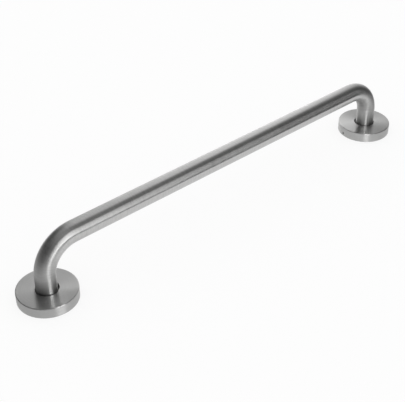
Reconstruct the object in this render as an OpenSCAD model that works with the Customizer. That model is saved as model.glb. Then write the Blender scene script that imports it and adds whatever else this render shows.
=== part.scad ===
// Grab bar of round stainless tube, fixed flat on a wall at both ends.
// The wall is the plane z = 0, the bar runs along x and stands off along z.
// The tube is bent twice and welded through two round plates. A machined cup, the
// rose, covers each plate, and a grub screw in its rim bites into the plate's groove.

/* [Tube] */
// Outside diameter of the tube
tube_d = 25; // [18:0.5:29]
// Wall thickness of the tube
tube_wall = 1.5; // [1:0.1:3]
// Distance between the centre lines of the two legs
leg_spacing = 550; // [220:1:1000]
// Height of the bar's centre line above the wall
bar_height = 73.5; // [62:0.5:120]
// Centre line radius of the two bends
bend_r = 41.5; // [28:0.5:54]

/* [Mounting plates] */
// Thickness of a plate
plate_t = 6.2; // [5.8:0.1:7]
// Gap between the tube and the bore it is welded in
weld_gap = 0.05; // [0.02:0.01:0.2]
// Leg of the weld bead in front of the plate
weld_leg = 3; // [1.5:0.1:3.2]
// Depth of the V groove in a plate's edge
groove_depth = 1.5; // [1:0.1:1.8]
// Depth of the groove's middle behind the plate's front face
groove_setback = 2.4; // [2.2:0.1:3]
// Broken edge of a plate
plate_edge = 0.4; // [0.1:0.1:0.5]

/* [Wall screw holes] */
// Number of screw holes in a plate
screw_count = 3; // [2:1:4]
// Diameter of the circle of screw holes
screw_circle_d = 46; // [45:0.5:48]
// Diameter of a screw hole
screw_hole_d = 5.5; // [4:0.1:6.5]
// Diameter of a hole's countersink at the front face
countersink_d = 10; // [8:0.1:10.4]

/* [Roses] */
// Outside diameter of a rose
rose_d = 72.5; // [71:0.5:90]
// Height of a rose above the wall
rose_h = 13.3; // [12.6:0.1:18]
// Thickness of a rose's face
rose_face = 2; // [1.2:0.1:2.6]
// Thickness of a rose's rim
rose_rim = 4; // [2.5:0.1:4.5]
// Radius on a rose's outer front edge
rose_edge_r = 1; // [0.3:0.1:1.5]
// Radius in the corner inside a rose
rose_corner_r = 1.5; // [0.5:0.1:2]
// Broken edge at the rim's foot and round the tube
rose_break = 0.3; // [0.1:0.1:0.5]
// Gap between a rose and its plate all round
plate_gap = 0.8; // [0.7:0.1:1.2]
// Gap between a rose and the tube all round
tube_gap = 1.4; // [0.8:0.1:2]
// Distance that the grub screw draws a rose along its own line, off the leg's centre
rose_draw = 0.6; // [0:0.1:0.6]

/* [Grub screws] */
// Thread diameter of a grub screw
grub_d = 3; // [2.5:0.5:4]
// Gap between a grub screw and its hole
grub_gap = 0.1; // [0.05:0.01:0.2]
// Distance across the flats of the hexagon socket
grub_socket = 1.5; // [1.2:0.1:1.6]
// Depth of the hexagon socket
grub_socket_depth = 1.5; // [1:0.1:2]
// Flat at the end of the cone point
grub_tip_d = 0.4; // [0.2:0.1:0.8]
// Gap left between the cone point and the groove
grub_seat_gap = 0.05; // [0.02:0.01:0.2]
// Depth of a grub screw below the rim's surface
grub_recess = 0.6; // [0.2:0.1:1]
// Angle of a grub screw from the line between the legs
grub_turn = 13; // [0:1:30]
// Chamfer on a grub screw's outer end and round the mouth of its hole
grub_chamfer = 0.3; // [0.1:0.1:0.5]

/* [Hidden] */
$fn = 96;

steel = [0.66, 0.67, 0.67];
plate_steel = [0.58, 0.59, 0.6];
screw_steel = [0.3, 0.31, 0.32];

// Extra length of a cutting shape past the face that it opens
cut = 1;

tube_r = tube_d / 2;
leg_x = leg_spacing / 2;
leg_h = bar_height - bend_r;
bore_r = tube_r + weld_gap;

rose_r = rose_d / 2;
rose_in_r = rose_r - rose_rim;
rose_hole_r = tube_r + tube_gap;
rose_in_h = rose_h - rose_face;

plate_r = rose_in_r - plate_gap;
groove_z = plate_t - groove_setback;
groove_r = plate_r - groove_depth;

grub_r = grub_d / 2;
grub_tip_r = grub_tip_d / 2;
grub_hole_r = grub_r + grub_gap;
// The cone and the groove both have sides at 45 degrees, so a gap square to them is
// longer along the screw. These three places lie along it, from the leg's centre.
grub_tip_x = groove_r + grub_tip_r + grub_seat_gap * sqrt(2);
rim_x = rose_draw + rose_r;
grub_end_x = rim_x - grub_recess;
grub_len = grub_end_x - grub_tip_x;
grub_cone = grub_r - grub_tip_r;
socket_r = grub_socket / 2 / cos(30);

// Cross section of the tube
module tube_section() {
    difference() {
        circle(r = tube_r);
        circle(r = tube_r - tube_wall);
    }
}

// One leg and its bend, on the +x side
module leg_and_bend() {
    translate([leg_x, 0, 0])
        linear_extrude(leg_h)
            tube_section();
    translate([leg_x - bend_r, 0, leg_h])
        rotate([90, 0, 0])
            rotate_extrude(angle = 90)
                translate([bend_r, 0])
                    tube_section();
}

module bar_tube() {
    straight = leg_spacing - 2 * bend_r;
    color(steel) {
        leg_and_bend();
        mirror([1, 0, 0])
            leg_and_bend();
        translate([-straight / 2, 0, bar_height])
            rotate([0, 90, 0])
                linear_extrude(straight)
                    tube_section();
    }
}

// Half section of a plate, with its groove and broken edges
module plate_section() {
    polygon([
        [bore_r, 0],
        [plate_r - plate_edge, 0],
        [plate_r, plate_edge],
        [plate_r, groove_z - groove_depth],
        [groove_r, groove_z],
        [plate_r, groove_z + groove_depth],
        [plate_r, plate_t - plate_edge],
        [plate_r - plate_edge, plate_t],
        [bore_r, plate_t],
    ]);
}

// Half section of the weld bead between the plate's front face and the tube
module weld_section() {
    translate([bore_r, plate_t])
        intersection() {
            circle(r = weld_leg);
            square(weld_leg);
        }
}

// Hole for one countersunk wood screw, at the origin
module screw_hole() {
    hole_r = screw_hole_d / 2;
    head_r = countersink_d / 2;
    translate([0, 0, -cut])
        cylinder(r = hole_r, h = plate_t + 2 * cut);
    translate([0, 0, plate_t - (head_r - hole_r)])
        cylinder(r1 = hole_r, r2 = head_r + cut, h = head_r - hole_r + cut);
}

// A plate about its own leg, drawn for the +x side
module mounting_plate() {
    color(plate_steel)
        difference() {
            rotate_extrude()
                union() {
                    plate_section();
                    weld_section();
                }
            for (i = [0 : screw_count - 1])
                rotate([0, 0, i * 360 / screw_count])
                    translate([screw_circle_d / 2, 0, 0])
                        screw_hole();
        }
}

// Half section of a rose's outside, with its rounded front edge
module rose_outside() {
    square([rose_r, rose_h - rose_edge_r]);
    square([rose_r - rose_edge_r, rose_h]);
    translate([rose_r - rose_edge_r, rose_h - rose_edge_r])
        circle(r = rose_edge_r);
}

// Half section of the hollow inside a rose, with its rounded corner
module rose_hollow() {
    translate([0, -cut]) {
        square([rose_in_r, rose_in_h - rose_corner_r + cut]);
        square([rose_in_r - rose_corner_r, rose_in_h + cut]);
    }
    translate([rose_in_r - rose_corner_r, rose_in_h - rose_corner_r])
        circle(r = rose_corner_r);
}

// Half section of a rose
module rose_section() {
    difference() {
        rose_outside();
        rose_hollow();
        square([rose_hole_r, rose_h + cut]);
        // broken edge round the tube
        polygon([
            [rose_hole_r - cut, rose_h + cut],
            [rose_hole_r - cut, rose_h - rose_break - cut],
            [rose_hole_r + rose_break + cut, rose_h + cut],
        ]);
        // broken edge at the rim's foot
        polygon([
            [rose_r - rose_break - cut, -cut],
            [rose_r + cut, -cut],
            [rose_r + cut, rose_break + cut],
        ]);
    }
}

// Places a shape that points along +x on a grub screw's line, on the +x side
module on_grub_line() {
    translate([0, 0, groove_z])
        rotate([0, 0, 180 - grub_turn])
            rotate([0, 90, 0])
                children();
}

// A rose about its own leg, drawn for the +x side
module rose() {
    color(steel)
        difference() {
            rotate([0, 0, 180 - grub_turn])
                translate([rose_draw, 0, 0])
                    rotate_extrude()
                        rose_section();
            on_grub_line() {
                cylinder(r = grub_hole_r, h = rim_x + cut);
                translate([0, 0, rim_x - grub_chamfer])
                    cylinder(r1 = grub_hole_r, r2 = grub_hole_r + grub_chamfer + cut, h = grub_chamfer + cut);
            }
        }
}

// A cone point grub screw, drawn for the +x side
module grub_screw() {
    color(screw_steel)
        on_grub_line()
            translate([0, 0, grub_tip_x])
                difference() {
                    union() {
                        cylinder(r1 = grub_tip_r, r2 = grub_r, h = grub_cone);
                        translate([0, 0, grub_cone])
                            cylinder(r = grub_r, h = grub_len - grub_cone - grub_chamfer);
                        translate([0, 0, grub_len - grub_chamfer])
                            cylinder(r1 = grub_r, r2 = grub_r - grub_chamfer, h = grub_chamfer);
                    }
                    translate([0, 0, grub_len - grub_socket_depth])
                        cylinder(r = socket_r, h = grub_socket_depth + cut, $fn = 6);
                }
}

// Puts a piece on the right leg, or its mirror image on the left leg
module on_right() {
    translate([leg_x, 0, 0])
        children();
}

module on_left() {
    mirror([1, 0, 0])
        on_right()
            children();
}

bar_tube();
on_left() mounting_plate();  // mounting_plate_left
on_right() mounting_plate();  // mounting_plate_right
on_left() rose();  // rose_left
on_right() rose();  // rose_right
on_left() grub_screw();  // grub_screw_left
on_right() grub_screw();  // grub_screw_right
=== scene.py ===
import math

import bpy
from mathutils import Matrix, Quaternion, Vector


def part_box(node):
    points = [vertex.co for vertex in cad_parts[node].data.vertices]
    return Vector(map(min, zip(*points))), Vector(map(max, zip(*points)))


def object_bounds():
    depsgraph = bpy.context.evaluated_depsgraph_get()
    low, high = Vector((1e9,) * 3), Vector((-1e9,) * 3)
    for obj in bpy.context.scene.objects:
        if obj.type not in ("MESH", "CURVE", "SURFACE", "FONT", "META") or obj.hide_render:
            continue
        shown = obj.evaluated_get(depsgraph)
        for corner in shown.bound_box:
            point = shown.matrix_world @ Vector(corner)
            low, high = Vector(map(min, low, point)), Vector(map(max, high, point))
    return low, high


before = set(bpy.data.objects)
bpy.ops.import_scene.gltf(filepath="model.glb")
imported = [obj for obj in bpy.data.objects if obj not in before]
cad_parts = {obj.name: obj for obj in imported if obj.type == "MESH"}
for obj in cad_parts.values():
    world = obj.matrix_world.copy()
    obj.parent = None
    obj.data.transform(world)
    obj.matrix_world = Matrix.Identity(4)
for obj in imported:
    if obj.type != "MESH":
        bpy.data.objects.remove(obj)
cad_low, cad_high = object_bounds()

MM = 0.001
WHITE = (1.0, 1.0, 1.0, 1.0)

# Points whose heights differ by less than this lie on one line
SAME_HEIGHT = 0.01 * MM
# The floor lies this far below the roses, so that no two faces coincide
FLOOR_DROP = 0.1 * MM

# Sizes read from the frame, in metres. The top line of the straight bar ends where the
# bends start, and the bends' centres lie at BEND_X and BEND_Z.
tube_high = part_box("bar_tube")[1]
TUBE_R = tube_high.y
BAR_Z = tube_high.z - TUBE_R
LEG_X = tube_high.x - TUBE_R
tube_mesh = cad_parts["bar_tube"].data
BEND_X = max(v.co.x for v in tube_mesh.vertices if v.co.z > tube_high.z - SAME_HEIGHT)
BEND_R = LEG_X - BEND_X
BEND_Z = BAR_Z - BEND_R
FLOOR_Z = cad_low.z - FLOOR_DROP


def middle_of(node):
    low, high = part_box(node)
    return (low + high) / 2


# Node trees


class Tree:
    """A node tree with short calls for the nodes that the materials share."""

    def __init__(self, owner):
        owner.use_nodes = True
        self.tree = owner.node_tree
        self.tree.nodes.clear()

    def node(self, kind, *values, **settings):
        """Adds a node; values go to its inputs in order, as numbers or as links."""
        made = self.tree.nodes.new(kind)
        for name, value in settings.items():
            setattr(made, name, value)
        for socket, value in zip(made.inputs, values):
            self.put(value, socket)
        return made

    def put(self, value, socket):
        if value is None:
            return
        if isinstance(value, bpy.types.NodeSocket):
            self.tree.links.new(value, socket)
        else:
            socket.default_value = value

    def math(self, operation, *values):
        return self.node("ShaderNodeMath", *values, operation=operation).outputs[0]

    def vector(self, operation, *values):
        made = self.node("ShaderNodeVectorMath", *values, operation=operation)
        return made.outputs[1] if operation in ("LENGTH", "DOT_PRODUCT") else made.outputs[0]

    def join(self, x, y, z):
        return self.node("ShaderNodeCombineXYZ", x, y, z).outputs[0]

    def split(self, vector):
        return self.node("ShaderNodeSeparateXYZ", vector).outputs

    def noise(self, vector, detail, roughness):
        made = self.node("ShaderNodeTexNoise")
        made.inputs["Scale"].default_value = 1.0
        made.inputs["Detail"].default_value = detail
        made.inputs["Roughness"].default_value = roughness
        self.put(vector, made.inputs["Vector"])
        return made.outputs[0]

    def remap(self, value, low, high, to_low, to_high, kind="LINEAR"):
        made = self.node("ShaderNodeMapRange", value, low, high, to_low, to_high)
        made.interpolation_type = kind
        return made.outputs[0]

    def mix(self, share, first, second):
        """A number between two: the first where the share is 0, the second where it is 1."""
        return self.node("ShaderNodeMix", share, None, first, second).outputs[0]

    def ramp(self, value, first, second):
        """A colour between two: the first where the value is 0, the second where it is 1."""
        made = self.node("ShaderNodeValToRGB", value)
        ends = made.color_ramp.elements
        ends[0].color = first
        ends[1].color = second
        return made.outputs[0]


def place_of(tree):
    """The place on the object, in the frame, in metres."""
    return tree.node("ShaderNodeTexCoord").outputs["Object"]


# Coordinates on the bent tube


def tube_coordinates(tree):
    """Length along the tube, the two coordinates across it, and its direction."""
    x, y, z = tree.split(place_of(tree))
    side = tree.math("SIGN", x)
    out = tree.math("ABSOLUTE", x)
    past_x = tree.math("MAXIMUM", tree.math("SUBTRACT", out, BEND_X), 0.0)
    past_z = tree.math("MAXIMUM", tree.math("SUBTRACT", z, BEND_Z), 0.0)
    from_bend = tree.vector("LENGTH", tree.join(past_x, 0.0, past_z))
    turn = tree.math("ARCTAN2", past_x, past_z)
    along = tree.math("MINIMUM", out, BEND_X)
    along = tree.math("MULTIPLY_ADD", turn, BEND_R, along)
    below = tree.math("SUBTRACT", BEND_Z, tree.math("MINIMUM", z, BEND_Z))
    along = tree.math("ADD", along, below)
    along = tree.math("MULTIPLY", along, side)
    across = tree.math("SUBTRACT", from_bend, BEND_R)
    down = tree.math("MULTIPLY", tree.math("MULTIPLY", past_x, side), -1.0)
    direction = tree.vector("NORMALIZE", tree.join(past_z, 0.0, down))
    return along, y, across, direction


# Coordinates about a node's upright axis


def turned_coordinates(tree, node):
    """Length along the turned section, the two coordinates from the axis, and the
    direction square to the turning marks."""
    axis = middle_of(node)
    centred = tree.vector("SUBTRACT", place_of(tree), (axis.x, axis.y, 0.0))
    x, y, z = tree.split(centred)
    flat = tree.join(x, y, 0.0)
    radius = tree.vector("LENGTH", flat)
    along = tree.math("SUBTRACT", radius, z)
    round_about = tree.join(tree.math("MULTIPLY", y, -1.0), x, 0.0)
    normal = tree.node("ShaderNodeNewGeometry").outputs["Normal"]
    direction = tree.vector("NORMALIZE", tree.vector("CROSS_PRODUCT", round_about, normal))
    return along, x, y, direction


# Brushed steel

# The brush marks are fine lines, streaks and clouds. Streaks and clouds are this many
# times as wide and as long as the fine lines.
STREAK_WIDTH = 9
STREAK_LENGTH = 1.6
CLOUD_WIDTH = 90
CLOUD_LENGTH = 4

# The marks are noise, whose values lie about the middle
NOISE_MIDDLE = 0.5
NOISE_ROUGHNESS = 0.6
FINE_DETAIL = 3
BROAD_DETAIL = 2

# Weight of each mark in the shade, and the shades at which the steel is darkest and
# lightest, which lie about half of the three weights together
FINE_SHADE = 0.12
STREAK_SHADE = 0.16
CLOUD_SHADE = 0.04
DARK_SHADE = 0.10
LIGHT_SHADE = 0.22

# How far streaks and clouds change the roughness
STREAK_ROUGHNESS = 0.10
CLOUD_ROUGHNESS = 0.08

# The marks as bump: the weight of the streaks beside the fine lines, the height and
# the strength
STREAK_BUMP = 0.5
BUMP_HEIGHT = 0.01 * MM
BUMP_STRENGTH = 0.25


def brushed(tree, coordinates, line, length, contrast, roughness, anisotropy, tint):
    """Steel with fine brush lines square to the direction in the coordinates.

    The coordinates are the length across the lines, two places along them and the
    direction. line is the width of the finest lines and length their length."""
    along, a, b, direction = coordinates

    def marks(width, stretch, detail):
        across = tree.math("MULTIPLY", along, 1 / width)
        first = tree.math("MULTIPLY", a, 1 / stretch)
        second = tree.math("MULTIPLY", b, 1 / stretch)
        return tree.noise(tree.join(across, first, second), detail, NOISE_ROUGHNESS)

    def swing(level, mark, amount):
        about = tree.math("SUBTRACT", mark, NOISE_MIDDLE)
        return tree.math("MULTIPLY_ADD", about, amount, level)

    fine = marks(line, length, FINE_DETAIL)
    streaks = marks(line * STREAK_WIDTH, length * STREAK_LENGTH, BROAD_DETAIL)
    clouds = marks(line * CLOUD_WIDTH, length * CLOUD_LENGTH, BROAD_DETAIL)

    shade = tree.math("MULTIPLY", streaks, STREAK_SHADE)
    shade = tree.math("MULTIPLY_ADD", fine, FINE_SHADE, shade)
    shade = tree.math("MULTIPLY_ADD", clouds, CLOUD_SHADE, shade)
    shade = tree.remap(shade, DARK_SHADE, LIGHT_SHADE, 0.0, 1.0)
    dark = tuple(c * (1 - contrast) for c in tint) + (1.0,)
    light = tuple(c * (1 + contrast) for c in tint) + (1.0,)
    colour = tree.ramp(shade, dark, light)

    rough = swing(roughness, streaks, STREAK_ROUGHNESS)
    rough = swing(rough, clouds, CLOUD_ROUGHNESS)

    height = tree.math("MULTIPLY_ADD", streaks, STREAK_BUMP, fine)
    bump = tree.node("ShaderNodeBump")
    bump.inputs["Strength"].default_value = BUMP_STRENGTH
    bump.inputs["Distance"].default_value = BUMP_HEIGHT
    tree.put(height, bump.inputs["Height"])

    steel = tree.node("ShaderNodeBsdfPrincipled")
    steel.inputs["Metallic"].default_value = 1.0
    steel.inputs["Anisotropic"].default_value = anisotropy
    tree.put(colour, steel.inputs["Base Color"])
    tree.put(rough, steel.inputs["Roughness"])
    tree.put(bump.outputs[0], steel.inputs["Normal"])
    tree.put(direction, steel.inputs["Tangent"])
    tree.node("ShaderNodeOutputMaterial", steel.outputs[0])


# Colours of the finishes
SATIN = (0.55, 0.55, 0.545)
MILL = (0.42, 0.42, 0.41)
OXIDE = (0.16, 0.16, 0.165)


def tube_steel():
    """Satin tube, brushed round and round by a belt."""
    made = bpy.data.materials.new("tube_steel")
    tree = Tree(made)
    brushed(tree, tube_coordinates(tree), line=0.22 * MM, length=9 * MM, contrast=0.14,
            roughness=0.31, anisotropy=1.0, tint=SATIN)
    return made


def rose_steel(node):
    """Satin rose, brushed as it turned in the lathe."""
    made = bpy.data.materials.new("rose_steel_" + node)
    tree = Tree(made)
    brushed(tree, turned_coordinates(tree, node), line=0.18 * MM, length=14 * MM, contrast=0.07,
            roughness=0.32, anisotropy=1.0, tint=SATIN)
    return made


def plate_steel(node):
    """Cut plate behind the rose, duller and coarser than what shows."""
    made = bpy.data.materials.new("plate_steel_" + node)
    tree = Tree(made)
    brushed(tree, turned_coordinates(tree, node), line=0.5 * MM, length=30 * MM, contrast=0.1,
            roughness=0.45, anisotropy=0.3, tint=MILL)
    return made


def screw_steel(node):
    """Grub screw, black oxide with a little shine."""
    made = bpy.data.materials.new("screw_steel_" + node)
    tree = Tree(made)
    brushed(tree, turned_coordinates(tree, node), line=0.3 * MM, length=4 * MM, contrast=0.07,
            roughness=0.4, anisotropy=0.0, tint=OXIDE)
    return made


def dress(node, material):
    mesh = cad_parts[node].data
    mesh.materials.clear()
    mesh.materials.append(material)


dress("bar_tube", tube_steel())
for hand in ("left", "right"):
    dress("rose_" + hand, rose_steel("rose_" + hand))
    dress("mounting_plate_" + hand, plate_steel("mounting_plate_" + hand))
    dress("grub_screw_" + hand, screw_steel("grub_screw_" + hand))


# Studio


def direction_of(azimuth, elevation):
    """A unit vector; azimuth 0 is towards the front, -Y, and 90 towards +X."""
    a = math.radians(azimuth)
    e = math.radians(elevation)
    return Vector((math.sin(a) * math.cos(e), -math.cos(a) * math.cos(e), math.sin(e)))


# The room as the metal shows it, in brightness, metres and degrees. The camera sees
# plain white instead. The ceiling grows from dark at this elevation to its brightness
# overhead.
CEILING = 0.43
CEILING_FROM = 34

# A white sheet under the object. Its brightness fades between two distances from its
# middle.
SHEET_NEAR = 0.98
SHEET_FAR = 0.45
SHEET_MIDDLE = Vector((0.0, -0.35, FLOOR_Z))
SHEET_FADE = (0.32, 0.79)

# The sheet ends in front in a straight edge at this distance from the origin, square
# to this azimuth, and past it lies a dark table
SHEET_EDGE = 0.3
SHEET_EDGE_AZIMUTH = 20
SHEET_EDGE_SOFTNESS = 0.01
TABLE = 0.02

# A pool of light on the sheet behind the object
POOL = 3.0
POOL_MIDDLE = Vector((0.72, 1.02, FLOOR_Z))
POOL_SPREAD = 0.36

# The soft lights' lower edges stand this far above the table
CARD_FOOT = 0.05

# The floor that the camera sees: its size, the share of plain white in it, and the
# paint of the rest, which takes the shadow
FLOOR_SIZE = 60
FLOOR_GLOW = 0.85
FLOOR_PAINT = (0.96, 0.96, 0.96, 1.0)


def studio_world():
    """White for the camera and for matt surfaces; a dim ceiling in the metal."""
    world = bpy.data.worlds.new("studio")
    bpy.context.scene.world = world
    tree = Tree(world)
    look = tree.node("ShaderNodeTexCoord").outputs["Generated"]
    height = tree.math("ARCSINE", tree.split(look)[2])
    start = math.radians(CEILING_FROM)
    ceiling = tree.remap(height, start, math.pi / 2, 0.0, CEILING, "SMOOTHSTEP")
    path = tree.node("ShaderNodeLightPath").outputs
    white = tree.math("MAXIMUM", path["Is Camera Ray"], path["Is Diffuse Ray"])
    level = tree.mix(white, ceiling, 1.0)
    back = tree.node("ShaderNodeBackground", WHITE, level)
    tree.node("ShaderNodeOutputWorld", back.outputs[0])


def soft_card(name, azimuth, distance, turned, half_width, side_softness, top, top_softness,
              strength, rise):
    """A tall soft light standing beside the object, seen only in the metal.

    It faces the middle, turned by an angle. It fades out at its sides and at its top,
    and rise is how much brighter its top is than its foot, as a share of its strength."""
    reach = half_width + side_softness
    head = top + top_softness
    card = bpy.data.objects.new(name, bpy.data.meshes.new(name))
    bpy.context.scene.collection.objects.link(card)
    corners = [(-reach, CARD_FOOT), (reach, CARD_FOOT), (reach, head), (-reach, head)]
    card.data.from_pydata([(x, y, 0.0) for x, y in corners], [], [(0, 1, 2, 3)])
    card.location = direction_of(azimuth, 0) * distance
    card.rotation_mode = "QUATERNION"
    card.rotation_quaternion = direction_of(azimuth + turned, 0).to_track_quat("-Z", "Y")
    card.visible_camera = False
    card.visible_diffuse = False
    card.visible_shadow = False
    material = bpy.data.materials.new(name)
    tree = Tree(material)
    x, y = tree.split(place_of(tree))[:2]
    aside = tree.math("ABSOLUTE", x)
    across = tree.remap(aside, half_width - side_softness, reach, 1.0, 0.0, "SMOOTHSTEP")
    up = tree.remap(y, top - top_softness, head, 1.0, 0.0, "SMOOTHSTEP")
    above = tree.math("SUBTRACT", y, CARD_FOOT)
    slope = strength * rise / (top - CARD_FOOT)
    level = tree.math("MULTIPLY_ADD", above, slope, strength)
    level = tree.math("MULTIPLY", level, tree.math("MULTIPLY", across, up))
    glow = tree.node("ShaderNodeEmission", WHITE, level)
    clear = tree.node("ShaderNodeBsdfTransparent")
    both = tree.node("ShaderNodeAddShader", glow.outputs[0], clear.outputs[0])
    tree.node("ShaderNodeOutputMaterial", both.outputs[0])
    card.data.materials.append(material)


def sheet_brightness(tree):
    """The sheet, the pool of light on it and the dark table past its front edge."""
    spot = tree.node("ShaderNodeNewGeometry").outputs["Position"]

    def away(middle):
        return tree.vector("LENGTH", tree.vector("SUBTRACT", spot, middle))

    near, far = SHEET_FADE
    steps = tree.math("LOGARITHM", away(SHEET_MIDDLE), math.e)
    level = tree.remap(steps, math.log(near), math.log(far), SHEET_NEAR, SHEET_FAR, "SMOOTHSTEP")
    spread = tree.math("POWER", tree.math("DIVIDE", away(POOL_MIDDLE), POOL_SPREAD), 2.0)
    pool = tree.math("EXPONENT", tree.math("MULTIPLY", spread, -0.5))
    level = tree.math("MULTIPLY_ADD", pool, POOL, level)
    front = tree.vector("DOT_PRODUCT", spot, direction_of(SHEET_EDGE_AZIMUTH, 0))
    start = SHEET_EDGE - SHEET_EDGE_SOFTNESS
    end = SHEET_EDGE + SHEET_EDGE_SOFTNESS
    past = tree.remap(front, start, end, 0.0, 1.0)
    return tree.mix(past, level, TABLE)


def studio_floor():
    """A pale floor with the object's shadow; the metal shows the sheet in its place."""
    bpy.ops.mesh.primitive_plane_add(size=FLOOR_SIZE, location=(0, 0, FLOOR_Z))
    floor = bpy.context.object
    floor.name = "floor"
    material = bpy.data.materials.new("white_floor")
    tree = Tree(material)
    path = tree.node("ShaderNodeLightPath").outputs
    glossy = tree.math("MAXIMUM", path["Is Glossy Ray"], path["Is Transmission Ray"])
    level = tree.mix(glossy, 1.0, sheet_brightness(tree))
    share = tree.math("MULTIPLY_ADD", path["Is Camera Ray"], FLOOR_GLOW, glossy)
    paint = tree.node("ShaderNodeBsdfDiffuse", FLOOR_PAINT)
    white = tree.node("ShaderNodeEmission", WHITE, level)
    surface = tree.node("ShaderNodeMixShader", share, paint.outputs[0], white.outputs[0])
    tree.node("ShaderNodeOutputMaterial", surface.outputs[0])
    floor.data.materials.append(material)


studio_world()
studio_floor()
soft_card("card_front", azimuth=-16, distance=0.68, turned=18, half_width=0.17,
          side_softness=0.1, top=0.8, top_softness=0.1, strength=3.3, rise=-0.33)
soft_card("card_front_wide", azimuth=6, distance=0.47, turned=-45, half_width=0.54,
          side_softness=0.12, top=0.82, top_softness=0.24, strength=0.2, rise=2.0)
soft_card("card_back", azimuth=152, distance=0.53, turned=-36, half_width=0.42,
          side_softness=0.2, top=1.42, top_softness=0.05, strength=1.46, rise=-0.57)
soft_card("card_left", azimuth=-145, distance=1.2, turned=0, half_width=1.0,
          side_softness=0.4, top=0.7, top_softness=0.25, strength=0.1, rise=0.0)
soft_card("card_right", azimuth=65, distance=1.2, turned=0, half_width=1.0,
          side_softness=0.4, top=0.55, top_softness=0.25, strength=0.08, rise=0.0)


# Camera

# The photograph's view: the angles in degrees, and the lens and sensor in millimetres
CAMERA_AZIMUTH = -41.383
CAMERA_ELEVATION = 35.919
CAMERA_ROLL = 0.261
CAMERA_DISTANCE = 1150.11 * MM
CAMERA_TARGET = Vector((-41.228, -2.054, 23.438)) * MM
CAMERA_LENS = 81.03
CAMERA_SENSOR = 36

# Nearest and farthest distance that it shows, in metres
CAMERA_NEAR = 0.01
CAMERA_FAR = 200


def photo_camera():
    camera = bpy.data.objects.new("camera", bpy.data.cameras.new("camera"))
    bpy.context.scene.collection.objects.link(camera)
    back = direction_of(CAMERA_AZIMUTH, CAMERA_ELEVATION)
    turn = (-back).to_track_quat("-Z", "Y")
    roll = Quaternion((0.0, 0.0, 1.0), -math.radians(CAMERA_ROLL))
    camera.rotation_mode = "QUATERNION"
    camera.rotation_quaternion = turn @ roll
    camera.location = CAMERA_TARGET + back * CAMERA_DISTANCE
    camera.data.sensor_width = CAMERA_SENSOR
    camera.data.lens = CAMERA_LENS
    camera.data.clip_start = CAMERA_NEAR
    camera.data.clip_end = CAMERA_FAR
    bpy.context.scene.camera = camera


photo_camera()
bpy.context.scene.view_settings.view_transform = "Standard"
